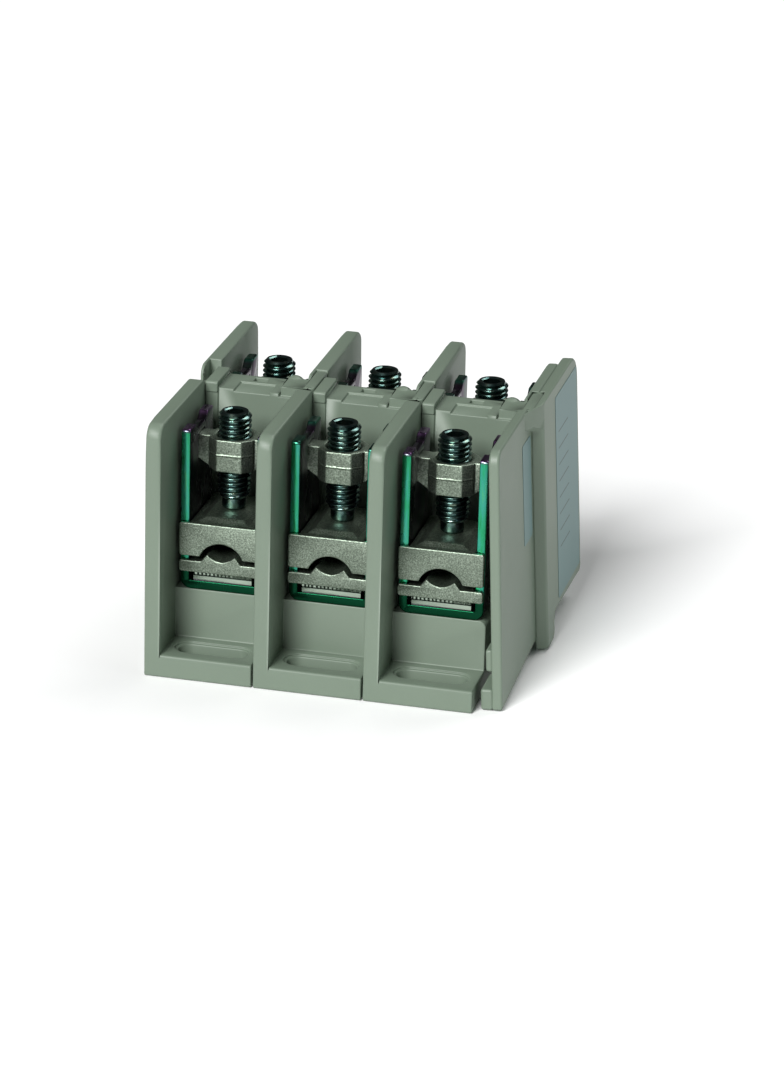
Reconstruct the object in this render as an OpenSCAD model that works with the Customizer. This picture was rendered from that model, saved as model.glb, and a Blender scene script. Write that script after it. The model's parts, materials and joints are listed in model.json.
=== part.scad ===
// Three-pole feed-through terminal block. Each pole is a one-piece moulded
// housing with a current bar through its centre bridge and a box clamp at the
// front and at the back. An end plate closes the open side of the last pole.
// X runs along the row of poles, Y from front to back, Z up. The origin is on
// the mounting surface, in the middle of the row.

/* [Row of poles] */
// Number of poles side by side
poles = 3; // [1:1:4]
// Room beside a clamp, on its left and on its right
clamp_room = 1.45; // [1.3:0.05:4]
// Gap between the free end of a pole's floor and the next wall
pole_gap = 0.6; // [0.4:0.1:1.2]

/* [Housing] */
// Depth of the housing from front to back
body_d = 107.6; // [104:0.2:120]
// Height of the walls
body_h = 77.6; // [76.4:0.2:95]
// Thickness of the moulded side wall
wall_t = 4.6; // [4.2:0.1:5]
// Radius of the wall's top corners
wall_top_r = 4.5; // [2:0.5:8]
// Radius of the small moulded edges
edge_r = 0.8; // [0.4:0.1:1.2]
// Thickness of the floor
floor_t = 7; // [4:0.2:8]
// Height of the pedestal that carries the clamp
pedestal_h = 22.4; // [18:0.2:23.6]
// Radius of the pedestal's free top corner
pedestal_r = 2.2; // [1:0.2:3]

/* [Fixing slots] */
// Width of a fixing slot
slot_w = 7; // [5:0.5:8]
// Overall length of a fixing slot
slot_l = 21; // [14:1:23]
// Distance from the front edge of the floor to the slot's centre line
slot_setback = 9; // [8:0.2:9.6]
// Depth of the shallow seat round the slot
slot_seat_depth = 0.6; // [0.3:0.1:1]
// Width of the shallow seat's rim round the slot
slot_seat_rim = 0.9; // [0.5:0.1:1.2]

/* [Centre bridge] */
// Thickness of the bridge wall from front to back
bridge_t = 14; // [12:0.2:16]
// How far the bridge stays below the top of the walls
bridge_drop = 2.6; // [1.4:0.1:3.2]
// Distance from the bridge to a clamp's strap
clamp_gap = 5.8; // [3:0.2:8]
// Width of the marker recess in the bridge's top
recess_w = 10.8; // [6:0.2:12]
// Depth of the marker recess
recess_depth = 0.7; // [0.4:0.1:1.2]
// Width of the small pocket in the bridge's top
pocket_w = 4; // [2:0.5:6]
// Depth of the small pocket
pocket_depth = 3; // [1:0.5:5]
// Width of the post beside the wall
post_w = 3.8; // [3:0.2:5]
// How far the post stands out in front of the bridge
post_reach = 0.9; // [0.6:0.1:2]
// How far the post stays below the top of the walls
post_drop = 0.6; // [0.3:0.1:1.2]
// Height of the post's head
post_head = 3.2; // [2:0.1:5]
// How far the post's shaft lies behind its head
post_waist = 0.4; // [0.2:0.1:0.5]

/* [Latch between poles] */
// Width of the latch's arm
latch_w = 9.2; // [7:0.2:10]
// Height of the latch's arm and bar
latch_h = 4.5; // [3:0.1:4.9]
// Length of the latch's bar
latch_l = 16.3; // [14:0.1:17]
// Thickness of the lip that hides the bar
lip_t = 1; // [0.8:0.1:1.4]
// Clearance round the latch
latch_clear = 0.3; // [0.2:0.05:0.4]
// Radius of the round button on the bridge
button_r = 2.9; // [2:0.1:3.2]
// Height of the button above its platform
button_h = 3.6; // [2:0.1:4.4]

/* [End plate] */
// Thickness of the plate's front half
plate_t = 3.2; // [2.8:0.1:4.5]
// Thickness of the plate's rear half
plate_rear_t = 6.7; // [6.2:0.1:8]
// How far the plate's foot stays behind the housing's front
plate_setback = 3.6; // [0:0.2:5]
// How far the plate's front edge leans back at its top
plate_rake = 3.8; // [0:0.2:6]
// How far the plate's rear edge stays inside the housing's back
plate_rear_setback = 3.2; // [0:0.2:5]
// How much further the plate's inner layer stays inside
plate_layer_setback = 8.6; // [2:0.2:12]
// Angle at which the clipped plate stands off at its foot
plate_splay = 3.4; // [0:0.1:3.6]
// Height of the plate's bottom edge above the mounting surface
plate_lift = 0.8; // [0.8:0.1:1.5]
// Height of the plate's foot
plate_foot_h = 6.4; // [4:0.2:8]
// How far the foot reaches towards the last pole
plate_foot_reach = 3.2; // [1:0.1:3.4]

/* [Clamp strap] */
// Outer width of the U-shaped strap
strap_w = 25.5; // [24.6:0.1:26.6]
// Width of the strap's steel from front to back
strap_d = 24.6; // [22:0.2:26]
// Thickness of the strap's steel
strap_t = 2.7; // [2:0.1:2.9]
// Height of the strap
strap_h = 49.3; // [47:0.1:51]
// Outer bend radius of the strap
strap_r = 3.2; // [3:0.1:4]
// Depth of the notch between the strap's two horns
horn_notch_depth = 2.3; // [1:0.1:2.9]
// Width of the notch between the horns, at its mouth
horn_notch_w = 12.6; // [9:0.2:14]

/* [Nut bridge] */
// Height of the nut bridge
nut_h = 9.9; // [8:0.1:10.4]
// Width of the nut bridge's boss across its flats
nut_flats = 13.4; // [12.6:0.2:14.4]
// Width of the flat front face of the boss
nut_face_w = 7.6; // [6:0.2:9]
// Width of the wings from front to back
nut_wing_d = 6; // [4:0.2:7]
// How much a wing's underside rises on its way to the strap
nut_taper = 2.3; // [1:0.1:3]
// Clearance of a wing in its window
window_clear = 0.15; // [0.1:0.05:0.3]
// Steel left above the window, under the horn notch
window_head = 1.75; // [1.5:0.05:2.6]

/* [Grub screw] */
// Thread diameter of the grub screw
screw_d = 10; // [8:1:10]
// Thread pitch of the grub screw
screw_pitch = 1.5; // [1.25:0.25:1.5]
// Length of the grub screw
screw_l = 30.1; // [27:0.1:31]
// Diameter of the plain point
point_d = 7; // [5:0.5:7.5]
// Length of the plain point
point_l = 3.6; // [2:0.2:5]
// Chamfer on both ends of the screw
screw_chamfer = 1.1; // [0.6:0.1:1.3]
// Width across flats of the hex socket
hex_flats = 5; // [4:0.5:5]
// Depth of the hex socket
hex_depth = 5.5; // [3:0.5:7]
// Running clearance of the screw in the nut
thread_clear = 0.06; // [0.03:0.01:0.09]

/* [Pressure prism] */
// Height of the upper pressure prism
prism_h = 10.3; // [8:0.1:11]
// Thickness of the face that stands in front of the strap
prism_face_t = 1.4; // [1:0.1:1.8]
// Height of the raised pad under the screw
pad_h = 1.2; // [0.8:0.1:2]
// Width of the raised pad
pad_w = 11.6; // [9:0.2:13]
// Width of the arch on the prism's underside
arch_w = 13; // [9:0.2:14]
// Height of the arch
arch_h = 4.5; // [3:0.1:5]
// Gap between the two prisms at rest
prism_gap = 1.4; // [1:0.1:1.6]
// Sliding clearance of a prism between the strap's legs
prism_clear = 0.3; // [0.2:0.05:0.5]

/* [Saddle prism] */
// Thickness of the lower saddle prism
saddle_h = 3.6; // [2.5:0.1:4]
// Height of the two points on the saddle
point_h = 2.3; // [1:0.1:2.6]
// Distance between the saddle's two points
point_spacing = 8.4; // [7:0.2:8.8]
// Width of the foot of each point
point_base = 3.6; // [2.4:0.2:4]

/* [Current bar] */
// Room between an edge of the current bar and the strap's leg
bar_side_room = 1.1; // [0.6:0.1:3]
// Thickness of the current bar
bar_t = 3.2; // [2:0.1:3.6]
// How far the bar's end stays behind the strap's outer edge
bar_setback = 0.6; // [0:0.1:2]
// Clearance of the bar in the bridge
bar_clear = 0.1; // [0.05:0.05:0.3]
// Number of serration grooves near each end of the bar
bar_grooves = 5; // [1:1:7]
// Depth of a serration groove
groove_depth = 0.5; // [0.2:0.1:0.8]

/* [Hidden] */
$fn = 64;
SIDES = ["front", "rear"];

// Overlap used where one solid is cut from or joined to another
cut = 1;
join = 0.2;

// A pole is as wide as its wall, its clamp and the room on both sides of it
pole_pitch = wall_t + strap_w + 2 * clamp_room;
half_d = body_d / 2;
row_x0 = -poles * pole_pitch / 2;
floor_end = pole_pitch - pole_gap;
half_bridge = bridge_t / 2;
bridge_top = body_h - bridge_drop;

// The clamp stands between the walls, and the pedestal ends flush with its strap
clamp_x = wall_t + clamp_room + strap_w / 2;
clamp_y = half_bridge + clamp_gap + strap_d / 2;
pedestal_y = clamp_y + strap_d / 2;
leg_in = strap_w / 2 - strap_t;
bar_w = 2 * (leg_in - bar_side_room);

// Heights of what is stacked on the pedestal
bar_z0 = pedestal_h + strap_t;
saddle_z0 = bar_z0 + bar_t;
saddle_z1 = saddle_z0 + saddle_h;
prism_z0 = saddle_z1 + prism_gap;
prism_z1 = prism_z0 + prism_h;
screw_z0 = prism_z1 + pad_h;
strap_z1 = pedestal_h + strap_h;
nut_z1 = strap_z1 - horn_notch_depth - window_head - window_clear;
nut_z0 = nut_z1 - nut_h;

// The latch of one pole lies in a notch and a pocket of the next wall
notch_y0 = -6.5;
notch_clear = 0.5;
latch_y0 = notch_y0 + notch_clear;
notch_y1 = latch_y0 + latch_w + notch_clear;
latch_z1 = body_h - latch_clear;
latch_z0 = latch_z1 - latch_h;
notch_z = latch_z0 - latch_clear;
pocket_x1 = wall_t + join;
latch_x0 = pole_pitch + lip_t + latch_clear;
latch_x1 = pole_pitch + pocket_x1 - latch_clear;
ear_r = 3.5;
horn_r = 1;
button_y = 3.4;
// The button's platform takes the right end of the bridge
platform_x = floor_end - 1.8 * button_r;
platform_z = bridge_top - 1;

POLE_COLOR = [0.62, 0.64, 0.55];
PLATE_COLOR = [0.60, 0.62, 0.54];
STRAP_COLOR = [0.24, 0.48, 0.38];
STEEL_COLOR = [0.66, 0.67, 0.62];
SCREW_COLOR = [0.13, 0.20, 0.20];
BAR_COLOR = [0.72, 0.72, 0.68];

// A flat profile in Y and Z, extruded along X from x = 0
module along_x(length) {
    rotate([90, 0, 90]) linear_extrude(length) children();
}

// A flat profile in X and Z, extruded along Y from y = 0
module along_y(length) {
    translate([0, length, 0]) rotate([90, 0, 0]) linear_extrude(length) children();
}

// What is left of a square corner outside its quarter circle, centred on the circle
module corner_waste(r, sx, sy) {
    scale_x = sx > 0 ? 0 : 1;
    scale_y = sy > 0 ? 0 : 1;
    mirror([scale_x, 0]) mirror([0, scale_y]) difference() {
        square(r + cut);
        circle(r);
    }
}

// A rectangle from [x0, y0] to [x1, y1] with its own radius at each corner:
// low left, low right, high right, high left
module soft_rect(x0, y0, x1, y1, radii) {
    difference() {
        translate([x0, y0]) square([x1 - x0, y1 - y0]);
        if (radii[0] > 0) translate([x0 + radii[0], y0 + radii[0]]) corner_waste(radii[0], -1, -1);
        if (radii[1] > 0) translate([x1 - radii[1], y0 + radii[1]]) corner_waste(radii[1], 1, -1);
        if (radii[2] > 0) translate([x1 - radii[2], y1 - radii[2]]) corner_waste(radii[2], 1, 1);
        if (radii[3] > 0) translate([x0 + radii[3], y1 - radii[3]]) corner_waste(radii[3], -1, 1);
    }
}

// An oblong with round ends, centred, running along X
module oblong(length, width) {
    reach = (length - width) / 2;
    square([2 * reach, width], center = true);
    for (side = [-1, 1]) translate([side * reach, 0]) circle(width / 2);
}

// Repeats what stands at the front at the back as well
module front_and_rear() {
    children();
    mirror([0, 1, 0]) children();
}

// The opening in the top of a wall for the latch: a straight notch with one
// tight and one wide shoulder
module notch_profile() {
    shoulder_r = 3.2;
    intersection() {
        translate([-half_d, notch_z]) square([body_d, body_h]);
        union() {
            translate([notch_y0, 0]) square([notch_y1 - notch_y0, body_h + cut]);
            translate([notch_y0 - shoulder_r, body_h - shoulder_r]) corner_waste(shoulder_r, 1, 1);
            translate([notch_y1 + ear_r, body_h - ear_r]) corner_waste(ear_r, -1, 1);
        }
    }
}

module wall_profile() {
    difference() {
        soft_rect(-half_d, 0, half_d, body_h, [edge_r, edge_r, wall_top_r, wall_top_r]);
        notch_profile();
    }
}

// The pocket behind the lip, which takes the bar of the neighbour's latch
module latch_pocket(ease = 0) {
    translate([lip_t - ease, notch_y0 + join, notch_z])
        cube([pocket_x1 - lip_t + ease, latch_l + 2 * notch_clear, body_h]);
}

module floor_and_pedestals() {
    difference() {
        union() {
            along_x(floor_end) soft_rect(-half_d, 0, half_d, floor_t, [edge_r, edge_r, edge_r, edge_r]);
            translate([0, -pedestal_y, 0]) along_y(2 * pedestal_y)
                soft_rect(0, 0, floor_end, pedestal_h, [0, 0, pedestal_r, 0]);
        }
        front_and_rear() translate([(wall_t + floor_end) / 2, -half_d + slot_setback, 0]) {
            translate([0, 0, -cut]) linear_extrude(floor_t + 2 * cut) oblong(slot_l, slot_w);
            translate([0, 0, floor_t - slot_seat_depth]) linear_extrude(cut)
                oblong(slot_l + 2 * slot_seat_rim, slot_w + 2 * slot_seat_rim);
        }
    }
}

// The post beside the wall: a square head on a shaft that lies a little behind it
module post() {
    post_top = body_h - post_drop;
    translate([pocket_x1, 0, 0]) along_x(post_w) difference() {
        soft_rect(-half_bridge - post_reach, floor_t / 2, half_bridge, post_top, [0, 0, edge_r, edge_r]);
        translate([-half_bridge - post_reach - cut, 0]) square([post_waist + cut, post_top - post_head]);
    }
}

// The marker recess, the small pocket and the button's platform in the bridge's top
module bridge_top_cuts() {
    recess_y1 = 0.8;
    pocket_y0 = 2.2;
    translate([clamp_x - recess_w / 2, -half_bridge - cut, bridge_top - recess_depth])
        cube([recess_w, half_bridge + recess_y1 + cut, recess_depth + cut]);
    translate([clamp_x - pocket_w / 2, pocket_y0, bridge_top - pocket_depth])
        cube([pocket_w, pocket_w * 0.8, pocket_depth + cut]);
    translate([platform_x, -half_bridge - cut, platform_z])
        cube([floor_end - platform_x + cut, bridge_t + 2 * cut, body_h]);
}

module bridge() {
    difference() {
        union() {
            translate([wall_t - join, -half_bridge, 0]) along_y(bridge_t)
                soft_rect(0, floor_t / 2, floor_end - wall_t + join, bridge_top, [0, 0, 0, 0]);
            post();
        }
        bridge_top_cuts();
        translate([clamp_x - bar_w / 2 - bar_clear, -half_bridge - cut, bar_z0 - bar_clear])
            cube([bar_w + 2 * bar_clear, bridge_t + 2 * cut, bar_t + 2 * bar_clear]);
    }
}

// A low round button with a groove round its foot
module button() {
    groove = 0.35;
    dome = button_h * 0.55;
    rotate_extrude() difference() {
        union() {
            translate([0, -join]) square([button_r - groove, button_h - dome + join]);
            translate([0, groove * 2]) square([button_r, button_h - dome - groove * 2]);
            translate([0, button_h - dome]) intersection() {
                square([button_r, dome]);
                rise = (button_r * button_r - dome * dome) / (2 * dome);
                translate([0, -rise]) circle(rise + dome);
            }
        }
        translate([-button_r - cut, -cut]) square([button_r + cut, button_h + 2 * cut]);
    }
}

// The arm and bar that lock a pole to the wall on its right
module latch() {
    root_x = platform_x + join;
    bar_mid = (latch_x0 + latch_x1) / 2;
    nub_r = (latch_x1 - latch_x0) / 2;
    translate([root_x, latch_y0, platform_z - 2 * join])
        cube([bar_mid - root_x, latch_w, latch_z0 + latch_h - 0.4 - platform_z + 2 * join]);
    translate([floor_end - join, latch_y0, latch_z0]) cube([bar_mid - floor_end + join, latch_w, latch_h - 0.4]);
    translate([latch_x0, latch_y0 + nub_r, latch_z0]) cube([2 * nub_r, latch_l - nub_r, latch_h]);
    translate([bar_mid, latch_y0 + nub_r, latch_z0]) difference() {
        cylinder(r = nub_r, h = latch_h);
        translate([0, 0, latch_h - 0.8]) cylinder(r = 0.4, h = cut);
    }
}

module housing(k) {
    color(POLE_COLOR) translate([row_x0 + (k - 1) * pole_pitch, 0, 0]) {
        difference() {
            union() {
                along_x(wall_t) wall_profile();
                floor_and_pedestals();
                bridge();
            }
            latch_pocket();
        }
        translate([floor_end - button_r, button_y, platform_z]) button();
        latch();
    }
}

// Seen from above: a thin front half and, past a slanted step, a thick rear half
// whose inner layer ends before the outer one
module plate_plan() {
    front_y = -half_d + plate_setback;
    rear_y = half_d - plate_rear_setback;
    step_y0 = -13;
    step_y1 = -8;
    rear_layer_y = rear_y - plate_layer_setback;
    nose_r = 2;
    inner_layer_t = 3;
    difference() {
        polygon([[0, front_y], [plate_t, front_y], [plate_t, step_y0], [plate_rear_t, step_y1],
                 [plate_rear_t, rear_y], [inner_layer_t, rear_y], [inner_layer_t, rear_layer_y],
                 [0, rear_layer_y]]);
        translate([plate_t - nose_r, front_y + nose_r]) corner_waste(nose_r, 1, -1);
        translate([plate_rear_t - edge_r, rear_y - edge_r]) corner_waste(edge_r, 1, 1);
    }
}

// Seen from the side: a front edge that leans back, and a raised bottom edge at the rear
module plate_profile() {
    front_y = -half_d + plate_setback;
    rear_y = half_d - plate_rear_setback;
    raise_y = 8;
    raise_r = 3.4;
    raise_z = plate_lift + 7.2;
    rear_z = plate_lift + 6.4;
    rear_r = 2.5;
    difference() {
        union() {
            soft_rect(front_y + plate_rake, plate_lift, rear_y, body_h, [0, rear_r, wall_top_r, wall_top_r]);
            polygon([[front_y, plate_lift], [front_y + 2 * plate_rake + join, plate_lift],
                     [front_y + 2 * plate_rake + join, body_h - wall_top_r],
                     [front_y + plate_rake, body_h - wall_top_r]]);
        }
        notch_profile();
        polygon([[raise_y + raise_r, raise_z], [raise_y + raise_r, plate_lift - cut],
                 [half_d + cut, plate_lift - cut], [half_d + cut, rear_z]]);
        translate([raise_y + raise_r, plate_lift - cut]) intersection() {
            translate([-raise_r, 0]) square([raise_r + join, raise_z - plate_lift + cut]);
            translate([0, raise_z - plate_lift + cut - raise_r]) union() {
                circle(raise_r);
                translate([-raise_r, -raise_z]) square([raise_r + join, raise_z]);
            }
        }
    }
}

module end_plate() {
    foot_d = 13;
    bump_r = 2.8;
    bump_z = 15.4;
    bump_reach = 1.4;
    front_y = -half_d + plate_setback;
    color(PLATE_COLOR) translate([row_x0 + poles * pole_pitch, 0, body_h]) rotate([0, -plate_splay, 0])
        translate([0, 0, -body_h]) {
            difference() {
                intersection() {
                    linear_extrude(body_h + cut) plate_plan();
                    along_x(plate_rear_t) plate_profile();
                }
                latch_pocket(0.3);
            }
            translate([-plate_foot_reach, front_y, plate_lift])
                cube([plate_foot_reach + join, foot_d, plate_foot_h]);
            translate([bump_r - bump_reach, front_y + plate_rake / 2, bump_z]) intersection() {
                rotate([-90, 0, 0]) cylinder(r = bump_r, h = foot_d / 2);
                translate([-bump_r, 0, -bump_r]) cube([bump_r + join, foot_d, 2 * bump_r]);
            }
        }
}

// Moves a clamp piece from its own frame to its place in pole k
module at_clamp(k, side) {
    translate([row_x0 + (k - 1) * pole_pitch + clamp_x, 0, 0])
        mirror([0, side == "rear" ? 1 : 0, 0]) translate([0, -clamp_y, 0]) children();
}

// The U-shaped steel frame round the clamp, seen from the front
module strap_profile() {
    bend_in = max(strap_r - strap_t, 0.4);
    difference() {
        soft_rect(-strap_w / 2, pedestal_h, strap_w / 2, strap_z1, [strap_r, strap_r, 0, 0]);
        soft_rect(-leg_in, pedestal_h + strap_t, leg_in, strap_z1 + 2 * cut, [bend_in, bend_in, 0, 0]);
    }
}

// The outline of a leg seen from the side: two horns with a sloping notch between
// them, over the window for the nut's wing
module leg_profile() {
    mouth = horn_notch_w / 2;
    difference() {
        soft_rect(-strap_d / 2, pedestal_h, strap_d / 2, strap_z1, [0, 0, horn_r, horn_r]);
        polygon([[-mouth, strap_z1 + cut], [-mouth, strap_z1],
                 [horn_notch_depth - mouth, strap_z1 - horn_notch_depth],
                 [mouth - horn_notch_depth, strap_z1 - horn_notch_depth],
                 [mouth, strap_z1], [mouth, strap_z1 + cut]]);
        translate([-nut_wing_d / 2 - window_clear, nut_z0 + nut_taper - window_clear])
            square([nut_wing_d + 2 * window_clear, nut_h - nut_taper + 2 * window_clear]);
    }
}

module strap(k, side) {
    color(STRAP_COLOR) at_clamp(k, side) intersection() {
        translate([0, -strap_d / 2, 0]) along_y(strap_d) strap_profile();
        translate([-strap_w / 2 - cut, 0, 0]) along_x(strap_w + 2 * cut) leg_profile();
    }
}

// The nut: an eight-sided boss with two wings that reach through the strap's windows.
// Its thread is sunk at both ends by a third of the pitch
module nut_bridge(k, side) {
    bore_r = screw_d / 2 + thread_clear;
    sink = screw_pitch / 3;
    half_face = nut_face_w / 2;
    half_flats = nut_flats / 2;
    color(STEEL_COLOR) at_clamp(k, side) translate([0, 0, nut_z0]) difference() {
        union() {
            linear_extrude(nut_h) polygon([
                [-half_face, -half_flats], [half_face, -half_flats], [half_flats, -half_face],
                [half_flats, half_face], [half_face, half_flats], [-half_face, half_flats],
                [-half_flats, half_face], [-half_flats, -half_face]]);
            translate([0, -nut_wing_d / 2, 0]) along_y(nut_wing_d) polygon([
                [-strap_w / 2, nut_taper], [-leg_in, nut_taper], [-half_flats, 0], [half_flats, 0],
                [leg_in, nut_taper], [strap_w / 2, nut_taper], [strap_w / 2, nut_h], [-strap_w / 2, nut_h]]);
        }
        translate([0, 0, -cut]) cylinder(r = bore_r, h = nut_h + 2 * cut);
        for (z = [0, nut_h]) translate([0, 0, z]) mirror([0, 0, z > 0 ? 1 : 0])
            translate([0, 0, -join]) cylinder(r1 = bore_r + sink + join, r2 = bore_r, h = sink + join);
    }
}

// The grub screw stands on the pad with its plain point
module clamp_screw(k, side) {
    r = screw_d / 2;
    point_r = point_d / 2;
    color(SCREW_COLOR) at_clamp(k, side) translate([0, 0, screw_z0]) difference() {
        rotate_extrude() polygon([
            [0, 0], [point_r - 0.4, 0], [point_r, 0.4], [point_r, point_l],
            [r, point_l + r - point_r], [r, screw_l - screw_chamfer], [r - screw_chamfer, screw_l],
            [0, screw_l]]);
        translate([0, 0, screw_l - hex_depth])
            cylinder(r = hex_flats / 2 / cos(30), h = hex_depth + cut, $fn = 6);
    }
}

// The round arch on the prism's underside
module arch_profile() {
    half_w = arch_w / 2;
    arch_r = (half_w * half_w + arch_h * arch_h) / (2 * arch_h);
    translate([0, arch_h - arch_r]) circle(arch_r);
}

// A block between the strap's legs with a wider face in front of them
module prism_block(h, face_r) {
    body_w = 2 * (leg_in - prism_clear);
    back_y = strap_d / 2 + prism_clear + prism_face_t;
    translate([-body_w / 2, -strap_d / 2 - prism_clear - join, 0])
        cube([body_w, back_y + strap_d / 2 + prism_clear + join, h]);
    translate([0, -strap_d / 2 - prism_clear - prism_face_t, 0]) along_y(prism_face_t)
        soft_rect(-strap_w / 2, 0, strap_w / 2, h, face_r);
}

module pressure_prism(k, side) {
    pad_d = 20;
    color(STEEL_COLOR) at_clamp(k, side) translate([0, 0, prism_z0]) {
        difference() {
            prism_block(prism_h, [edge_r, edge_r, edge_r, edge_r]);
            translate([0, -strap_d, 0]) along_y(2 * strap_d) arch_profile();
        }
        translate([-pad_w / 2, -pad_d / 2, prism_h - join]) cube([pad_w, pad_d, pad_h + join]);
    }
}

// Two points with a dished valley between them
module saddle_profile() {
    half_span = point_spacing / 2;
    outer = half_span + point_base / 2;
    valley = 0.35;
    steps = 12;
    polygon(concat(
        [[-outer, -join], [-outer, 0], [-half_span, point_h]],
        [for (i = [1:steps - 1]) let (u = 2 * i / steps - 1) [half_span * u, valley + (point_h - valley) * pow(abs(u), 2)]],
        [[half_span, point_h], [outer, 0], [outer, -join]]));
}

module saddle_prism(k, side) {
    ridge_d = strap_d - 4;
    color(STEEL_COLOR) at_clamp(k, side) translate([0, 0, saddle_z0]) {
        prism_block(saddle_h, [edge_r, edge_r, edge_r, edge_r]);
        translate([0, -strap_d / 2 - prism_clear - prism_face_t, saddle_h]) along_y(ridge_d) saddle_profile();
    }
}

// A flat bar from one clamp to the other, serrated on top near its ends
module current_bar(k) {
    half_l = clamp_y + strap_d / 2 - bar_setback;
    groove_pitch = 2.4;
    color(BAR_COLOR) translate([row_x0 + (k - 1) * pole_pitch + clamp_x, 0, bar_z0]) difference() {
        translate([-bar_w / 2, -half_l, 0]) cube([bar_w, 2 * half_l, bar_t]);
        for (side = [-1, 1], i = [0:bar_grooves - 1])
            translate([-bar_w / 2 - cut, side * (half_l - 2 - i * groove_pitch), bar_t])
                rotate([0, 90, 0]) cylinder(r = groove_depth, h = bar_w + 2 * cut, $fn = 4);
    }
}

for (k = [1:poles]) {
    housing(k);
    current_bar(k);
    for (s = SIDES) {
        strap(k, s);
        nut_bridge(k, s);
        clamp_screw(k, s);
        pressure_prism(k, s);
        saddle_prism(k, s);
    }
}
end_plate();
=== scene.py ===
# %% [markdown]
# # A three-pole terminal block, dressed for its portrait
#
# The construction comes packed from the part's own source: moulded housings, steel straps, nuts,
# grub screws, prisms and current bars, each at its real size. This script loads those pieces as a
# fixed frame. Each piece that the camera sees is then rebuilt as a finished one, with softened edges,
# real threads and a finish of its own, and it rides on the same moving body as the piece it stands for.

# %% Tools and the frame
import json
import math

import bmesh
import bpy
from mathutils import Matrix, Vector

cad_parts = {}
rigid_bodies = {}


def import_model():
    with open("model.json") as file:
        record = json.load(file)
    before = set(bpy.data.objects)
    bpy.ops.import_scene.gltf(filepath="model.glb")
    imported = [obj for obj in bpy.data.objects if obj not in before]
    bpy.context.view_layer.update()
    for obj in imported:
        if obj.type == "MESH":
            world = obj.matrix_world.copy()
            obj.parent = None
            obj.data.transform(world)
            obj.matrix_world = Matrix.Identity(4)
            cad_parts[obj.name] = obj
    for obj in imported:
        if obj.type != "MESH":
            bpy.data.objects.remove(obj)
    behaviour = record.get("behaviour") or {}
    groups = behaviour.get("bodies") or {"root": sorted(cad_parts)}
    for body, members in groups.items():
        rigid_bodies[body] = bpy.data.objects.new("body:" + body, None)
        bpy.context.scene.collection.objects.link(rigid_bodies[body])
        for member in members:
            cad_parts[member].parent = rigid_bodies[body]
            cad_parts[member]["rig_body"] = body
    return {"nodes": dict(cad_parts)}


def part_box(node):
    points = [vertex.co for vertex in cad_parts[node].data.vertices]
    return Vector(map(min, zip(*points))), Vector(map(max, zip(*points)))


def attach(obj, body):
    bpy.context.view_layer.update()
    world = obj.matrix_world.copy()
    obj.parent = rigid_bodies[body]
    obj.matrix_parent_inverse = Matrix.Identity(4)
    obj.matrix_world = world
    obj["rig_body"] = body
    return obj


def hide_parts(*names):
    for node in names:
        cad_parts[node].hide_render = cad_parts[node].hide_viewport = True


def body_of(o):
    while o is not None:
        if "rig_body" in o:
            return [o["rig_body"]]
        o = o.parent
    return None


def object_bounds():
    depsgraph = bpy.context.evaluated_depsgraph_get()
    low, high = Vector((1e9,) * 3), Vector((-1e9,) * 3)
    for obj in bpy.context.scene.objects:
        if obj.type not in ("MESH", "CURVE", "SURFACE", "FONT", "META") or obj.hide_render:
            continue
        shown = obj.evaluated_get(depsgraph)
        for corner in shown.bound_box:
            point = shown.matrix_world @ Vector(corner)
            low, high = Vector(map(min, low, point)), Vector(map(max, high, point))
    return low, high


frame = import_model()
cad_low, cad_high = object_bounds()
nodes = frame["nodes"]
MM = 0.001
SIDES = ("front", "rear")
POLES = sorted(int(name.split("_")[1]) for name in nodes if name.startswith("housing_"))
print("poles", POLES, "nodes", len(nodes))

# %% [markdown]
# ## The camera
#
# The block was photographed from the right and from above with a long lens. The place, the turn and
# the focal length below put the corners of the housings where the photograph has them. A camera in
# Blender looks along its own -Z, so its matrix is built from the direction it looks in, and a
# small roll about that direction finishes it.

# %% Camera
CAMERA_PLACE = Vector((274.93, -1147.19, 476.93)) * MM
CAMERA_AZIMUTH = math.radians(12.928)
CAMERA_PITCH = math.radians(20.696)
CAMERA_ROLL = math.radians(1.626)
FOCAL_PX = 4203.7
IMAGE_H = 1066
SENSOR = 36


def make_camera():
    data = bpy.data.cameras.new("portrait_camera")
    data.sensor_width = SENSOR
    data.lens = FOCAL_PX / IMAGE_H * SENSOR
    data.clip_start = 0.05
    data.clip_end = 20
    camera = bpy.data.objects.new("portrait_camera", data)
    bpy.context.scene.collection.objects.link(camera)
    look = Vector((-math.sin(CAMERA_AZIMUTH) * math.cos(CAMERA_PITCH),
                   math.cos(CAMERA_AZIMUTH) * math.cos(CAMERA_PITCH),
                   -math.sin(CAMERA_PITCH)))
    turn = look.to_track_quat("-Z", "Y").to_matrix().to_4x4()
    camera.matrix_world = Matrix.Translation(CAMERA_PLACE) @ turn @ Matrix.Rotation(CAMERA_ROLL, 4, "Z")
    bpy.context.scene.camera = camera
    return camera


camera = make_camera()
print("focal length", round(camera.data.lens, 2), "mm")

# %% [markdown]
# ## Floor and light
#
# The photograph is a cut-out on white. A large soft lamp stands in front, a weaker one on the right
# and a faint one behind, and the bays between the walls stay nearly black. Wide suns give that light
# evenly, so the pale floor stays white as far as it is seen. The sky is dim, so steel has something
# dark to reflect.

# %% Floor, sky and lamps
FLOOR_COLOR = (0.92, 0.92, 0.92, 1)
FLOOR_SIZE = 8.0
FLOOR_DROP = 0.05 * MM
SKY_STRENGTH = 0.04
WHITE = (1.0, 1.0, 1.0)
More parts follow.
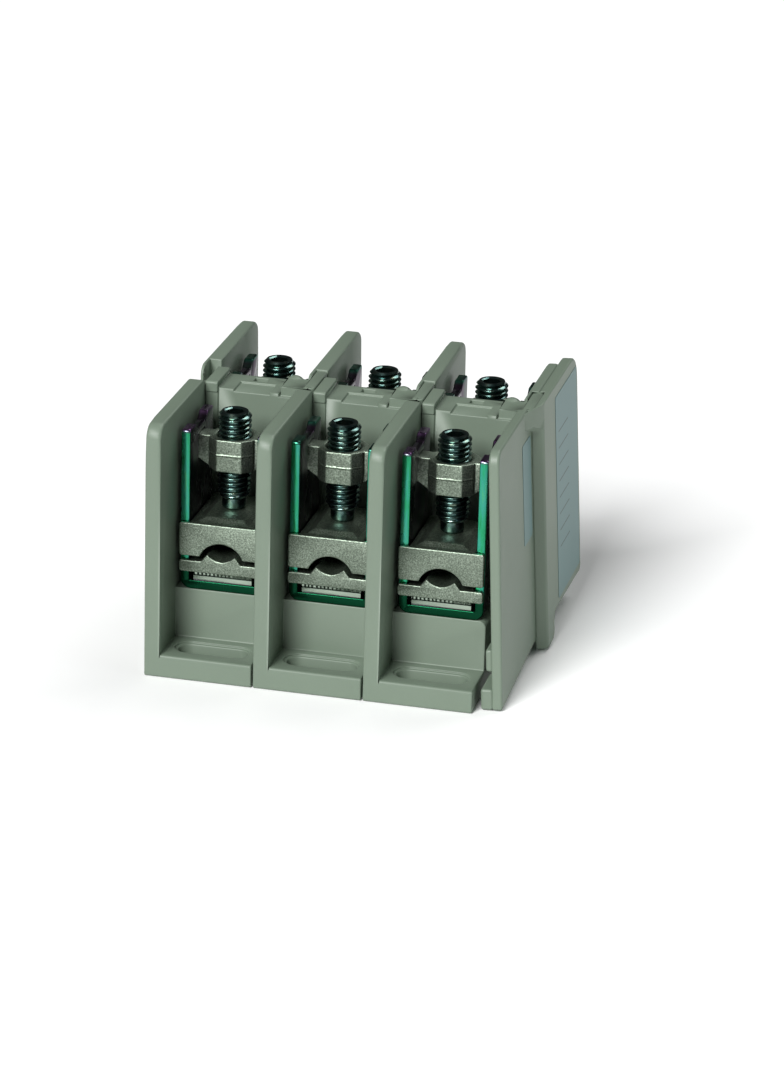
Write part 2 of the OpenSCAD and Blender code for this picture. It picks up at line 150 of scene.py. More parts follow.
# Each lamp is the direction it stands in, its strength, its spread in degrees and its tint
LAMPS = {
    "key_lamp": ((-0.35, -1.2, 0.95), 4.6, 28, WHITE),
    "right_lamp": ((1.3, -0.12, 0.40), 0.5, 30, (0.84, 1.0, 0.92)),
    "back_lamp": ((0.5, 0.9, 1.35), 1.0, 30, WHITE),
}


def make_floor():
    mesh = bpy.data.meshes.new("studio_floor")
    bm = bmesh.new()
    bmesh.ops.create_grid(bm, x_segments=1, y_segments=1, size=FLOOR_SIZE / 2)
    bm.to_mesh(mesh)
    bm.free()
    floor = bpy.data.objects.new("studio_floor", mesh)
    floor.location.z = cad_low.z - FLOOR_DROP
    bpy.context.scene.collection.objects.link(floor)
    material = bpy.data.materials.new("studio_floor")
    material.use_nodes = True
    shader = material.node_tree.nodes["Principled BSDF"]
    shader.inputs["Base Color"].default_value = FLOOR_COLOR
    shader.inputs["Roughness"].default_value = 0.9
    mesh.materials.append(material)


def make_sky(strength):
    world = bpy.data.worlds.new("studio_sky")
    world.use_nodes = True
    background = world.node_tree.nodes["Background"]
    background.inputs["Color"].default_value = (*WHITE, 1)
    background.inputs["Strength"].default_value = strength
    bpy.context.scene.world = world


def make_lamp(name, toward, strength, spread, tint):
    data = bpy.data.lights.new(name, "SUN")
    data.energy = strength
    data.color = tint
    data.angle = math.radians(spread)
    lamp = bpy.data.objects.new(name, data)
    lamp.location = toward
    lamp.rotation_euler = (-Vector(toward)).to_track_quat("-Z", "Y").to_euler()
    bpy.context.scene.collection.objects.link(lamp)


make_floor()
make_sky(SKY_STRENGTH)
for name, lamp in LAMPS.items():
    make_lamp(name, *lamp)
bpy.context.scene.view_settings.view_transform = "Standard"

# %% [markdown]
# ## Material helpers
#
# Every finish here is a Principled shader fed by a few procedural patterns on Object coordinates.
# The helpers below only wire sockets, so that each finish reads as a short recipe.

# %% Material helpers


class Recipe:
    """A new material with short ways to add and join shader nodes."""

    def __init__(self, name):
        self.material = bpy.data.materials.new(name)
        self.material.use_nodes = True
        self.tree = self.material.node_tree
        self.shader = self.tree.nodes["Principled BSDF"]
        self.place = self.add("ShaderNodeTexCoord").outputs["Object"]

    def add(self, kind, values=None, **settings):
        node = self.tree.nodes.new(kind)
        for key, value in settings.items():
            setattr(node, key, value)
        for key, value in (values or {}).items():
            if isinstance(value, bpy.types.NodeSocket):
                self.tree.links.new(value, node.inputs[key])
            else:
                node.inputs[key].default_value = value
        return node

    def noise(self, scale, detail=3.0, roughness=0.5, stretch=None):
        place = self.place
        if stretch:
            place = self.add("ShaderNodeMapping", {"Vector": self.place, "Scale": stretch}).outputs[0]
        return self.add("ShaderNodeTexNoise", {"Vector": place, "Scale": scale, "Detail": detail,
                                               "Roughness": roughness}).outputs["Fac"]

    def axis(self, letter):
        return self.add("ShaderNodeSeparateXYZ", {"Vector": self.place}).outputs[letter]

    def ramp(self, factor, stops):
        node = self.add("ShaderNodeValToRGB", {"Fac": factor})
        elements = node.color_ramp.elements
        while len(elements) < len(stops):
            elements.new(0.5)
        for element, (position, color) in zip(elements, stops):
            element.position = position
            element.color = (*color, 1)
        return node.outputs["Color"]

    def between(self, factor, low, high, start=0.0, end=1.0):
        return self.add("ShaderNodeMapRange", {"Value": factor, "From Min": start, "From Max": end,
                                               "To Min": low, "To Max": high}).outputs["Result"]

    def mix(self, factor, first, second):
        node = self.add("ShaderNodeMix", data_type="RGBA")
        for key, value in ((0, factor), (6, first), (7, second)):
            if isinstance(value, bpy.types.NodeSocket):
                self.tree.links.new(value, node.inputs[key])
            elif key:
                node.inputs[key].default_value = (*value, 1)
            else:
                node.inputs[key].default_value = value
        return node.outputs[2]

    def math(self, operation, *values):
        node = self.add("ShaderNodeMath", operation=operation)
        for index, value in enumerate(values):
            if isinstance(value, bpy.types.NodeSocket):
                self.tree.links.new(value, node.inputs[index])
            else:
                node.inputs[index].default_value = value
        return node.outputs[0]

    def bump(self, height, distance, strength=1.0, under=None):
        values = {"Height": height, "Distance": distance, "Strength": strength}
        if under:
            values["Normal"] = under
        return self.add("ShaderNodeBump", values).outputs["Normal"]

    def set(self, **sockets):
        for key, value in sockets.items():
            name = key.replace("_", " ").title().replace("Ior", "IOR")
            if isinstance(value, bpy.types.NodeSocket):
                self.tree.links.new(value, self.shader.inputs[name])
            elif isinstance(value, tuple):
                self.shader.inputs[name].default_value = (*value, 1)
            else:
                self.shader.inputs[name].default_value = value
        return self.material


# %% [markdown]
# ## Shape helpers
#
# A imported piece arrives as loose triangles. A softened piece starts from a merged copy of it, whose
# flat faces are joined up. A rule then weighs each sharp edge, and a Bevel modifier rounds it by its
# weight, so that a wall gets a wide round edge and a small recess keeps a crisp one. Hardened normals
# keep the flat faces flat.
# `finish` gives any new piece its place in the frame: the piece rides on the body of the node it
# stands for and gets the material it is given.


def merged_copy(node, keep=None):
    """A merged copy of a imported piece, its flat faces joined up except at edges where keep(edge) is true."""
    bm = bmesh.new()
    bm.from_mesh(nodes[node].data)
    bmesh.ops.remove_doubles(bm, verts=bm.verts, dist=0.001 * MM)
    edges = [edge for edge in bm.edges if not (keep and keep(edge))]
    bmesh.ops.dissolve_limit(bm, angle_limit=math.radians(0.3), verts=[] if keep else bm.verts, edges=edges)
    return bm


def weigh(bm, rule=None, limit=30):
    """Gives each edge sharper than the limit in degrees the weight that rule(edge) returns, or else 1."""
    layer = bm.edges.layers.float.new("bevel_weight_edge")
    for edge in bm.edges:
        if len(edge.link_faces) == 2 and edge.calc_face_angle(0) > math.radians(limit):
            edge[layer] = rule(edge) if rule else 1.0
    return bm


def finish(name, bm, node, material):
    """Turns bm into a smooth piece with its material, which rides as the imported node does."""
    for face in bm.faces:
        face.smooth = True
    mesh = bpy.data.meshes.new(name)
    bm.to_mesh(mesh)
    bm.free()
    piece = bpy.data.objects.new(name, mesh)
    bpy.context.scene.collection.objects.link(piece)
    mesh.materials.append(material)
    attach(piece, body_of(nodes[node])[0])
    return piece


def soften(piece, width, segments=2):
    """Rounds the weighed edges of the piece; the width in mm is that of an edge of weight 1."""
    bevel = piece.modifiers.new("soft_edges", "BEVEL")
    bevel.width = width * MM
    bevel.segments = segments
    bevel.limit_method = "WEIGHT"
    bevel.use_clamp_overlap = False
    bevel.harden_normals = True


# %% [markdown]
# ## Moulded pebble grey
#
# The housings are a glass-filled thermoset: pebble grey with a green cast, a fine grain in
# the surface and hardly any gloss. Two noises change the colour by a few per cent, and a very fine
# one lifts the surface by hundredths of a millimetre.

# %% Moulded finish


def moulded(name, color, shade):
    """A fine-grained plastic of the color, clouded down to the shade of it."""
    r = Recipe(name)
    clouds = r.noise(38.0, 4.0, 0.6)
    specks = r.noise(1400.0, 2.0, 0.5)
    base = r.ramp(clouds, [(0.25, tuple(c * shade for c in color)), (0.75, color)])
    base = r.mix(r.between(specks, 0.0, 0.35), base, tuple(c * 1.08 for c in color))
    grain = r.bump(r.noise(2600.0, 2.0, 0.6), 0.00004, 0.35)
    waves = r.bump(r.noise(160.0, 2.0, 0.5), 0.00008, 0.25, grain)
    return r.set(base_color=base, roughness=r.between(clouds, 0.42, 0.55), normal=waves)


POLE_GREY = (0.142, 0.185, 0.140)
housing_finish = moulded("moulded_grey", POLE_GREY, 0.94)

# %% Housings
WALL_T = 4.6 * MM
WIDE_EDGE = 1.0
FINE_SHARE = 0.35
FOOT_TOP = 1.0 * MM
FLOOR_TOP = 7.5 * MM
BRIDGE_REACH = 14 * MM
BRIDGE_HALF = 11 * MM
BRIDGE_TOP = 70 * MM


def wall_rule(wall_x):
    """Weighs a housing's edges: the outline of its wall is wide away from the bridge, the rest is fine."""

    def rule(edge):
        places = [v.co for v in edge.verts]
        across = sorted(abs(f.normal.x) for f in edge.link_faces)
        outer = all(abs(c.x - wall_x) < 1e-6 and c.z > FOOT_TOP for c in places)
        inner = all(abs(c.x - wall_x - WALL_T) < 1e-6 and c.z > FLOOR_TOP for c in places)
        away = all(abs(c.y) > BRIDGE_REACH for c in places)
        square = across[0] < 0.01 and across[1] > 0.99
        return 1.0 if (outer or inner) and away and square else FINE_SHARE

    return rule


def on_bridge_top(edge):
    return all(abs(v.co.y) < BRIDGE_HALF and v.co.z > BRIDGE_TOP for v in edge.verts)


for k in POLES:
    node = f"housing_{k}"
    bm = weigh(merged_copy(node, on_bridge_top), wall_rule(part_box(node)[0].x))
    piece = finish(f"pole_moulding_{k}", bm, node, housing_finish)
    soften(piece, WIDE_EDGE, segments=3)
    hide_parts(node)
print("moulded poles", len(POLES))

# %% [markdown]
# ## The end cover
#
# The end cover is drawn in its own upright frame and then swung out by a few degrees about its top
# edge, as it hangs in the photograph. It is two flat layers. The inner one is thin and has the notch
# for the last pole's latch, with a lip in front of the latch's bar. The outer one starts behind a
# slanted step, which reaches forward round the bar's end, and is hollow where the bar lies. Each
# layer is one flat outline, cut into fields by bisecting planes, and each field is extruded as far as
# it is thick. All sizes are in millimetres.

# %% End cover sizes
COVER_SWING = math.radians(-3.4)
COVER_HINGE = Vector((49.5, 0, 77.6)) * MM
COVER_T = 3.2
REAR_T = 6.7
FOOT_Z = 0.15
TOP_Z = 77.6
POCKET_Z = 72.4
NOTCH_Y = (-6.5, 3.7)
HOLLOW_Y = (1.6, 10.8)
INNER_SKIN = 1.0
OUTER_SKIN = 1.9
OUTER_REST = 1.8
STEP_Y = -0.2
STEP_SLANT = 0.51
LATCH_SLANT = 3.05
LATCH_FADE = 3
LATCH_ZONE = (-14, 12)
LATCH_EDGE = 0.22
COVER_EDGE = 0.8


def outline(points, rounded, x):
    """A flat face at x from points (y, z), with the corners in rounded = {index: radius} made round."""
    bm = bmesh.new()
    verts = [bm.verts.new((x * MM, y * MM, z * MM)) for y, z in points]
    bm.faces.new(verts)
    for index, radius in rounded.items():
        bmesh.ops.bevel(bm, geom=[verts[index]], offset=radius * MM, offset_type="OFFSET", segments=8,
                        profile=0.5, affect="VERTICES", material=-1)
    return bm


def cut_fields(bm, y_lines, z_lines):
    """Cuts the flat face by planes across Y and across Z at the given places."""
    normals = [Vector((0, 1, 0))] * len(y_lines) + [Vector((0, 0, 1))] * len(z_lines)
    for normal, place in zip(normals, (*y_lines, *z_lines)):
        bmesh.ops.bisect_plane(bm, geom=bm.verts[:] + bm.edges[:] + bm.faces[:],
                               plane_co=normal * place * MM, plane_no=normal)


def fields(bm, y0, y1, z0, z1, faces=None):
    """The faces whose middle lies between those values of y and z."""
    found = []
    for face in faces or bm.faces:
        middle = face.calc_center_median() / MM
        if y0 < middle.y < y1 and z0 < middle.z < z1:
            found.append(face)
    return found


def thicken(bm, faces, reach):
    """Extrudes the faces along X by the reach and returns those at the far end."""
    made = bmesh.ops.extrude_face_region(bm, geom=faces)["geom"]
    moved = [v for v in made if isinstance(v, bmesh.types.BMVert)]
    bmesh.ops.translate(bm, verts=moved, vec=(reach * MM, 0, 0))
    return [f for f in made if isinstance(f, bmesh.types.BMFace)]


def block(low, high):
    """A small clip of the cover, from one corner to the opposite one."""
    bm = bmesh.new()
    bmesh.ops.create_cube(bm, size=1)
    for v in bm.verts:
        v.co = Vector(((high[i] if v.co[i] > 0 else low[i]) for i in range(3))) * MM
    return bm


def joined(parts):
    """One bmesh of all the parts, each with its faces outwards."""
    whole = bmesh.new()
    for part in parts:
        mesh = bpy.data.meshes.new("part")
        bmesh.ops.recalc_face_normals(part, faces=part.faces)
        part.to_mesh(mesh)
        part.free()
        whole.from_mesh(mesh)
        bpy.data.meshes.remove(mesh)
    return whole


# %% End cover
inner = outline([(-50.2, FOOT_Z), (42, FOOT_Z + 6), (42, TOP_Z), (-46.4, TOP_Z)], {2: 4.5, 3: 4.0}, 0)
cut_fields(inner, (*NOTCH_Y, HOLLOW_Y[1]), (POCKET_Z,))
bmesh.ops.delete(inner, geom=fields(inner, *NOTCH_Y, POCKET_Z, TOP_Z), context="FACES")
skin = thicken(inner, inner.faces[:], INNER_SKIN)
hollow = fields(inner, NOTCH_Y[1], HOLLOW_Y[1], POCKET_Z, TOP_Z, skin)
thicken(inner, [face for face in skin if face not in hollow], COVER_T - INNER_SKIN)

outer = outline([(STEP_Y, FOOT_Z), (7.6, FOOT_Z), (9.4, 1.6), (9.9, 3.6), (9.6, 5.6), (10.6, 7.4),
                 (12.8, 8.2), (50.6, 7.2), (50.6, TOP_Z), (STEP_Y, TOP_Z)], {7: 2.5, 8: 7.5}, REAR_T)
cut_fields(outer, HOLLOW_Y, (POCKET_Z - LATCH_FADE, POCKET_Z))
skin = thicken(outer, outer.faces[:], -OUTER_SKIN)
hollow = fields(outer, *HOLLOW_Y, POCKET_Z, TOP_Z, skin)
thicken(outer, [face for face in skin if face not in hollow], -OUTER_REST)

foot = block((-3.2, -50.2, FOOT_Z), (0.4, -37.2, 6.6))
stop = block((-1.7, -49.0, 11.6), (0.4, -42.0, 18.4))

# %% Slanted step and swing


def slant_step(bm):
    """Leans the front of the outer layer forwards towards its inner side, most of all at the latch."""
    for v in bm.verts:
        if v.co.y < (HOLLOW_Y[0] + 0.1) * MM:
            slant = LATCH_SLANT if v.co.z > (POCKET_Z - 1) * MM else STEP_SLANT
            v.co.y -= (REAR_T * MM - v.co.x) * slant


def cover_rule(edge):
    """Weighs the cover's edges: they are crisp round the latch and wide elsewhere."""
    places = [v.co / MM for v in edge.verts]
    at_latch = all(LATCH_ZONE[0] < c.y < LATCH_ZONE[1] and c.z > POCKET_Z - 1 for c in places)
    return LATCH_EDGE if at_latch else 1.0


slant_step(outer)
cover = weigh(joined([inner, outer, foot, stop]), cover_rule)
turn = Matrix.Rotation(COVER_SWING, 4, "Y")
swing = Matrix.Translation(COVER_HINGE) @ turn @ Matrix.Translation((0, 0, -TOP_Z * MM))
bmesh.ops.transform(cover, matrix=swing, verts=cover.verts)
piece = finish("end_cover", cover, "end_plate", housing_finish)
soften(piece, COVER_EDGE, segments=3)
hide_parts("end_plate")
print("end cover faces", len(piece.data.polygons))

# %% [markdown]
# ## Bare labels
#
# Two paper labels stick to the cover's outer face. They stay bare but for a few ruled lines on the
# large one.

# %% Labels
RULE_STEP = 5.2 * MM
RULE_SHARE = 0.07
RULE_Y = (20 * MM, 34 * MM)
RULE_MIDDLE = 45 * MM
RULE_HALF = 20.5 * MM
LABEL_CORNER = 0.8
LABEL_T = 0.1
LABEL_GAP = 0.02


def paper(name, ruled):
    """Plain bluish paper; ruled adds short dark lines that lie RULE_STEP apart."""
    r = Recipe(name)
    fibres = r.noise(900.0, 3.0, 0.6)
    base = r.ramp(fibres, [(0.3, (0.122, 0.204, 0.204)), (0.7, (0.138, 0.226, 0.226))])
    if ruled:
        height = r.math("FRACT", r.math("MULTIPLY", r.axis("Z"), 1 / RULE_STEP))
        row = r.math("LESS_THAN", height, RULE_SHARE)
        depth = r.axis("Y")
        inside = r.math("MULTIPLY", r.math("GREATER_THAN", depth, RULE_Y[0]),
                        r.math("LESS_THAN", depth, RULE_Y[1]))
        off_middle = r.math("ABSOLUTE", r.math("SUBTRACT", r.axis("Z"), RULE_MIDDLE))
        line = r.math("MULTIPLY", r.math("MULTIPLY", row, inside), r.math("LESS_THAN", off_middle, RULE_HALF))
        base = r.mix(line, base, (0.03, 0.05, 0.06))
    return r.set(base_color=base, roughness=r.between(fibres, 0.45, 0.6))


def label(name, y0, y1, z0, z1, x, material):
    """A thin plate with round corners on the cover's face at x, swung out with the cover."""
    bm = outline([(y0, z0), (y1, z0), (y1, z1), (y0, z1)], {}, x + LABEL_GAP)
    bmesh.ops.bevel(bm, geom=bm.verts[:], offset=LABEL_CORNER * MM, offset_type="OFFSET", segments=4,
                    profile=0.5, affect="VERTICES", material=-1)
    thicken(bm, bm.faces[:], LABEL_T)
    bmesh.ops.recalc_face_normals(bm, faces=bm.faces)
    bmesh.ops.transform(bm, matrix=swing, verts=bm.verts)
    piece = finish(name, bm, "end_plate", material)
    piece.data.set_sharp_from_angle(angle=math.radians(30))


label("label_small", -15.2, -4.0, 38.0, 69.0, COVER_T, paper("paper_plain", False))
label("label_large", 16.0, 48.0, 10.4, 74.0, REAR_T, paper("paper_ruled", True))

# %% [markdown]
# ## Straps with a rainbow passivation
#
# The straps are zinc plated steel under a thin chromate layer that shines green on the faces that
# stand to the front and purple on the cut edges of the horns. The layer's colour depends on where it
# lies on the strap, so the recipe reads the height and the distance from the middle of the block.
# The height also sets painted shade: the outer faces turn nearly black at the strap's foot, where it lies in
# shadow.

# %% Strap finish
STRAP_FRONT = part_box("strap_front_1")[0].y
STRAP_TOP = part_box("strap_front_1")[1].z
STRAP_EDGE = 0.35


def passivated(name):
    """Green on the outer faces with painted shade at their foot, dark on the sides, purple or teal on the horns'
    tops.
    """
    r = Recipe(name)
    height = r.axis("Z")
    depth = r.math("ABSOLUTE", r.axis("Y"))
    wander = r.noise(140.0, 3.0, 0.6, (1, 1, 0.35))
    streaks = r.noise(620.0, 4.0, 0.6, (1, 1, 0.10))
    front = r.ramp(streaks, [(0.30, (0.015, 0.16, 0.06)), (0.45, (0.03, 0.36, 0.16)),
                             (0.58, (0.05, 0.36, 0.27)), (0.75, (0.10, 0.46, 0.14))])
    # Painted shade: the outer faces turn nearly black below about 28 mm, at the shadowed foot of the strap.
    front = r.mix(r.between(height, 0.0, 1.0, 27.5 * MM, 30.0 * MM), (0.004, 0.045, 0.020), front)
    side = r.ramp(wander, [(0.30, (0.020, 0.035, 0.030)), (0.50, (0.055, 0.035, 0.060)),
                           (0.68, (0.035, 0.065, 0.050))])
    purple = r.ramp(wander, [(0.30, (0.10, 0.05, 0.13)), (0.55, (0.17, 0.09, 0.20)),
                             (0.75, (0.05, 0.10, 0.08))])
    teal = r.ramp(wander, [(0.30, (0.02, 0.07, 0.05)), (0.55, (0.03, 0.13, 0.09)), (0.75, (0.08, 0.06, 0.12))])
    middle = r.between(r.math("ABSOLUTE", r.axis("X")), 1.0, 0.0, 15.5 * MM, 17.0 * MM)
    behind = r.between(r.axis("Y"), 0.0, 1.0, -1.0 * MM, 1.0 * MM)
    top = r.mix(r.math("MAXIMUM", middle, behind), purple, teal)
    is_front = r.between(depth, 0.0, 1.0, -STRAP_FRONT - 0.4 * MM, -STRAP_FRONT - 0.2 * MM)
    is_top = r.between(height, 0.0, 1.0, STRAP_TOP - 1.2 * MM, STRAP_TOP - 0.3 * MM)
    base = r.mix(is_top, r.mix(is_front, side, front), top)
    grain = r.bump(r.noise(900.0, 3.0, 0.6), 0.00003, 0.3)
    return r.set(base_color=base, metallic=1.0, roughness=r.between(wander, 0.22, 0.34), normal=grain)


# %% Straps
strap_finish = passivated("rainbow_passivation")
for side in SIDES:
    for k in POLES:
        node = f"strap_{side}_{k}"
        piece = finish(f"clamp_strap_{side}_{k}", weigh(merged_copy(node)), node, strap_finish)
        soften(piece, STRAP_EDGE)
        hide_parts(node)
print("straps", len(SIDES) * len(POLES))

# %% [markdown]
# ## Sintered and plated pieces
#
# Nuts, prisms and saddles are pressed from steel powder and plated. They are matt, with a grain
# that can be seen and small dark pits. A nut's boss also has the fine raised line that the halves of
# the die leave, and a prism's pad is widened at its foot.

# %% Sintered finish
BOSS_Y = 29 * MM


def sintered(name, color, dark, rib=None):
    """A pitted matt metal; rib is the height of the die's line, which shows outside of BOSS_Y."""
    r = Recipe(name)
    clouds = r.noise(230.0, 3.0, 0.6)
    pits = r.noise(2400.0, 4.0, 0.7)
    base = r.ramp(pits, [(0.32, tuple(c * 0.5 for c in dark)), (0.46, dark), (0.56, color),
                         (0.70, tuple(c * 1.5 for c in color))])
    base = r.mix(r.between(clouds, 0.0, 0.35, 0.35, 0.65), base, dark)
    grain = r.bump(pits, 0.00012, 0.8)
    lumps = r.bump(r.noise(420.0, 2.0, 0.5), 0.00012, 0.5, grain)
    if rib:
        away = r.math("ABSOLUTE", r.math("SUBTRACT", r.axis("Z"), rib))
        wavy = r.math("ADD", away, r.between(r.noise(700.0), -0.25 * MM, 0.25 * MM))
        boss = r.math("GREATER_THAN", r.math("ABSOLUTE", r.axis("Y")), BOSS_Y)
        height = r.math("MULTIPLY", r.between(wavy, 1.0, 0.0, 0.05 * MM, 0.4 * MM), boss)
        lumps = r.bump(height, 0.00025, 0.9, lumps)
    return r.set(base_color=base, metallic=1.0, roughness=r.between(clouds, 0.5, 0.36), normal=lumps)


# %% Nuts, prisms and saddles
SINTERED = ((0.30, 0.36, 0.29), (0.17, 0.21, 0.165))
NUT_RIB_Z = 62.8 * MM
PAD_HALF = (5.8, 10.0)
PAD_SLOPE = 2.1
PAD_H = 1.2
TOUCH = 0.01
sintered_finish = sintered("sintered_steel", *SINTERED)
nut_finish = sintered("sintered_nut", *SINTERED, rib=NUT_RIB_Z)
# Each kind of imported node, with the name of its piece, the width of its edges in mm and its finish
SINTERED_KINDS = (("nut_bridge", "nut", 0.45, nut_finish),
                  ("pressure_prism", "press_prism", 0.35, sintered_finish),
                  ("saddle_prism", "saddle", 0.35, sintered_finish))


def slope_pad(bm, node):
    """Carries the foot of the prism's raised pad outwards, which makes its sides slopes."""
    low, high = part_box(node)
    nut_low, nut_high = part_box(node.replace("pressure_prism", "nut_bridge"))
    middle_x = (low.x + high.x) / 2
    middle_y = (nut_low.y + nut_high.y) / 2
    foot_z = high.z - PAD_H * MM
    for v in bm.verts:
        x, y = v.co.x - middle_x, v.co.y - middle_y
        off = (v.co.z - foot_z, abs(x) - PAD_HALF[0] * MM, abs(y) - PAD_HALF[1] * MM)
        if all(abs(distance) < TOUCH * MM for distance in off):
            v.co.x += math.copysign(PAD_SLOPE * MM, x)
            v.co.y += math.copysign(PAD_SLOPE * MM, y)


for side in SIDES:
    for k in POLES:
        for kind, name, width, material in SINTERED_KINDS:
            node = f"{kind}_{side}_{k}"
            bm = merged_copy(node)
            if kind == "pressure_prism":
                slope_pad(bm, node)
            piece = finish(f"{name}_{side}_{k}", weigh(bm, limit=20), node, material)
            soften(piece, width)
            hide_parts(node)
print("sintered pieces", len(SINTERED_KINDS) * len(SIDES) * len(POLES))

# %% [markdown]
# ## Current bars
#
# A current bar lies under each saddle, and only its end shows. It is plated and drawn, so its
# scratches run along it. Its end looks like two flat strips: the upper one is knurled and a dark line
# parts it from the lower one.

# %% Current bars
BAR_EDGE = 0.15
TOOTH = 0.6 * MM


def plated(name, color, low, high):
    """Drawn metal between the heights low and high, with teeth along X on its upper half."""
    r = Recipe(name)
    scratches = r.noise(300.0, 4.0, 0.6, (0.3, 1, 3))
    uneven = r.math("ADD", r.axis("X"), r.between(r.noise(500.0), -0.4 * MM, 0.4 * MM))
    teeth = r.math("MULTIPLY", r.math("PINGPONG", uneven, TOOTH), 1600.0)
    half = (low + high) / 2
    upper = r.between(r.axis("Z"), 0.0, 1.0, half, half + 0.2 * MM)
    off_half = r.math("ABSOLUTE", r.math("SUBTRACT", r.axis("Z"), half))
    seam = r.between(off_half, 1.0, 0.0, 0.1 * MM, 0.25 * MM)
    grain = r.bump(scratches, 0.00003, 0.4)
    knurl = r.bump(r.math("MULTIPLY", teeth, upper), 0.0004, 0.9, grain)
    base = r.ramp(scratches, [(0.3, tuple(c * 0.7 for c in color)), (0.7, color)])
    return r.set(base_color=r.mix(seam, base, (0.02, 0.03, 0.025)), metallic=1.0,
                 roughness=r.between(scratches, 0.24, 0.4), normal=knurl)


bar_low, bar_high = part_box("current_bar_1")
bar_finish = plated("plated_bar", (0.42, 0.51, 0.42), bar_low.z, bar_high.z)
for k in POLES:
    node = f"current_bar_{k}"
    piece = finish(f"bus_bar_{k}", weigh(merged_copy(node)), node, bar_finish)
    soften(piece, BAR_EDGE)
    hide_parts(node)
print("current bars", len(POLES))

# %% [markdown]
# ## Grub screws with real threads
#
# A thread is one profile, a pitch high, carried round the axis while it climbs a pitch a turn. The
# spin makes a skin whose turns meet, so merging the doubles gives one continuous helix. A bisecting
# plane cuts the skin off square at each end. A chamfer is then a cone that no vertex may pass: each
# vertex outside it is pulled in. The cut loops are carried on by extrusion: at the top into a
# rounded rim and a hex socket, at the bottom into the plain point.

# %% Screw sizes
THREAD_PITCH = 1.5 * MM
STEPS_PER_TURN = 36
POINT_LENGTH = 3.6 * MM
POINT_RADIUS = 3.5 * MM
SOCKET_FLATS = 5.0 * MM
SOCKET_DEPTH = 5.5 * MM
CHAMFER = 1.1 * MM
CREST_DROP = 0.06 * MM
MERGE = 0.0005 * MM


def loop_at(bm, height):
    """The open edges that lie level at the height."""
    return [e for e in bm.edges if e.is_boundary and all(abs(v.co.z - height) < 1e-7 for v in e.verts)]


def extrude_loop(bm, edges, place):
    """Extrudes a loop of edges and puts each new vertex where place(radius, angle, z) says."""
    made = bmesh.ops.extrude_edge_only(bm, edges=edges)["geom"]
    for v in made:
        if isinstance(v, bmesh.types.BMVert):
            radius, angle, z = place(math.hypot(v.co.x, v.co.y), math.atan2(v.co.y, v.co.x), v.co.z)
            v.co = (radius * math.cos(angle), radius * math.sin(angle), z)
    return [e for e in made if isinstance(e, bmesh.types.BMEdge)]


def hex_radius(flats, angle):
    """How far a hexagon's side is from its middle in the direction of the angle."""
    return flats / 2 / math.cos((angle % (math.pi / 3)) - math.pi / 6)


def thread_skin(outer, low, high):
    """The skin of a thread of the outer radius between two heights, open at both ends."""
    root = outer - 0.61 * THREAD_PITCH
    bm = bmesh.new()
    crest = outer - CREST_DROP
    profile = ((root, 0.0), (root, 0.16), (crest, 0.54), (outer, 0.60), (outer, 0.66), (crest, 0.72), (root, 1.0))
    start = low - 2 * THREAD_PITCH
    verts = [bm.verts.new((radius, 0, start + share * THREAD_PITCH)) for radius, share in profile]
    edges = [bm.edges.new(pair) for pair in zip(verts, verts[1:])]
    turns = math.ceil((high - low) / THREAD_PITCH) + 3
    bmesh.ops.spin(bm, geom=verts + edges, cent=(0, 0, 0), axis=(0, 0, 1), angle=2 * math.pi * turns,
                   dvec=(0, 0, THREAD_PITCH / STEPS_PER_TURN), steps=turns * STEPS_PER_TURN)
    bmesh.ops.remove_doubles(bm, verts=bm.verts, dist=MERGE)
    for height, up in ((low, -1), (high, 1)):
        bmesh.ops.bisect_plane(bm, geom=bm.verts[:] + bm.edges[:] + bm.faces[:], plane_co=(0, 0, height),
                               plane_no=(0, 0, up), clear_outer=True)
    return bm


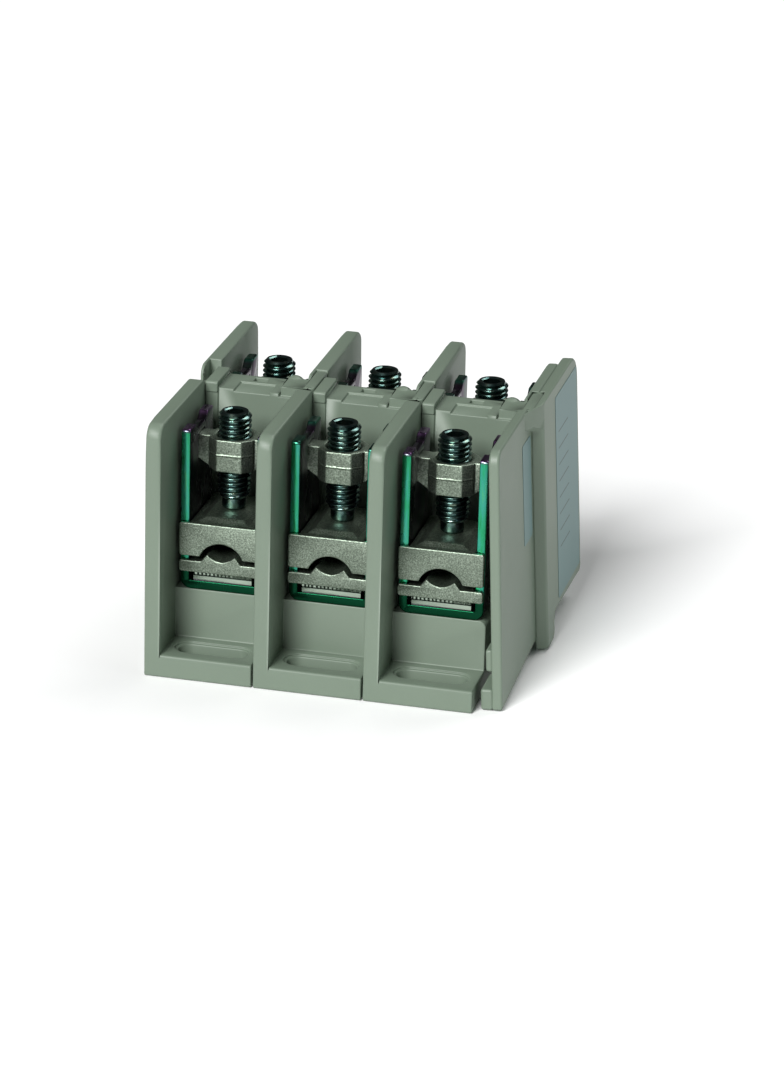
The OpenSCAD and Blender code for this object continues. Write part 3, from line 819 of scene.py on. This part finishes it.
def make_screw(node):
    """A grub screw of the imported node's length and radius, at its place, closed all round."""
    low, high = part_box(node)
    outer = (high.x - low.x) / 2
    length = high.z - low.z
    bm = thread_skin(outer, POINT_LENGTH, length)
    for v in bm.verts:
        at_top = outer - CHAMFER + (length - v.co.z) * 0.9
        at_foot = POINT_RADIUS + 0.3 * MM + (v.co.z - POINT_LENGTH) * 0.7
        allowed = min(at_top, at_foot)
        radius = math.hypot(v.co.x, v.co.y)
        if radius > allowed:
            v.co.x *= allowed / radius
            v.co.y *= allowed / radius
    bmesh.ops.remove_doubles(bm, verts=bm.verts, dist=MERGE)
    rim = loop_at(bm, length)
    rim = extrude_loop(bm, rim, lambda r, a, z: (hex_radius(SOCKET_FLATS, a) + 0.45 * MM, a, z))
    rim = extrude_loop(bm, rim, lambda r, a, z: (hex_radius(SOCKET_FLATS, a), a, z - 0.35 * MM))
    rim = extrude_loop(bm, rim, lambda r, a, z: (r, a, length - SOCKET_DEPTH))
    rim = extrude_loop(bm, rim, lambda r, a, z: (0.2 * MM, a, z - 1.2 * MM))
    bmesh.ops.edgeloop_fill(bm, edges=rim)
    foot = loop_at(bm, POINT_LENGTH)
    foot = extrude_loop(bm, foot, lambda r, a, z: (POINT_RADIUS, a, z))
    foot = extrude_loop(bm, foot, lambda r, a, z: (POINT_RADIUS, a, 0.7 * MM))
    foot = extrude_loop(bm, foot, lambda r, a, z: (POINT_RADIUS - 0.6 * MM, a, 0))
    bmesh.ops.edgeloop_fill(bm, edges=foot)
    bmesh.ops.recalc_face_normals(bm, faces=bm.faces)
    middle = (low + high) / 2
    bmesh.ops.translate(bm, verts=bm.verts, vec=(middle.x, middle.y, low.z))
    return bm


# %% Screw finish


def zinc(name):
    """Dark blue-green plating with duller, yellower spots."""
    r = Recipe(name)
    spots = r.noise(500.0, 3.0, 0.6)
    base = r.ramp(spots, [(0.30, (0.05, 0.11, 0.11)), (0.55, (0.13, 0.21, 0.19)), (0.75, (0.24, 0.27, 0.19))])
    grain = r.bump(r.noise(2200.0, 2.0, 0.6), 0.00002, 0.3)
    return r.set(base_color=base, metallic=1.0, roughness=0.2, normal=grain)


# %% Screws
screw_finish = zinc("dark_zinc")
open_edges = 0
for side in SIDES:
    for k in POLES:
        node = f"clamp_screw_{side}_{k}"
        bm = make_screw(node)
        open_edges += sum(e.is_boundary for e in bm.edges)
        piece = finish(f"grub_screw_{side}_{k}", bm, node, screw_finish)
        piece.data.set_sharp_from_angle(angle=math.radians(35))
        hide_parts(node)
print("screws", len(SIDES) * len(POLES), "open edges", open_edges, "faces", len(piece.data.polygons))
